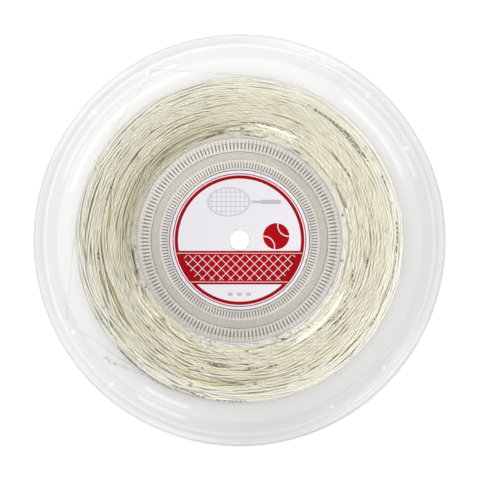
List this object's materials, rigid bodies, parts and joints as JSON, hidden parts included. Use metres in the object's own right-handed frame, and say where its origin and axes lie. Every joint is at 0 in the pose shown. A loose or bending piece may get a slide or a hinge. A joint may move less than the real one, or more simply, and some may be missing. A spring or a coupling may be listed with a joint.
{
  "type": "string reel",
  "caption": "Clear plastic reel of wound racket string: two flanges pressed together at a toothed hub, a string winding held by loose film, round labels and a spindle hole.",
  "frame": {"origin": "centre of the rear face, where the reel rests when it lies flat", "axes": "+Z along the reel's axis, from the rear face to the front face; +Y is up as the reel is seen from the front"},
  "size_m": [0.27, 0.27, 0.024],
  "materials": {
    "clear_plastic": "polished clear moulding",
    "label_paper": "satin coated paper",
    "string": "pearly extruded filament",
    "clear_film": "thin clear film"
  },
  "bodies": {
    "root": {"front_flange": "clear_plastic", "rear_flange": "clear_plastic", "front_label": "label_paper", "rear_label": "label_paper", "string_core": "string", "string_outer_turns": "string", "wrap_film": "clear_film", "film_tape": "clear_film"}
  },
  "joints": []
}
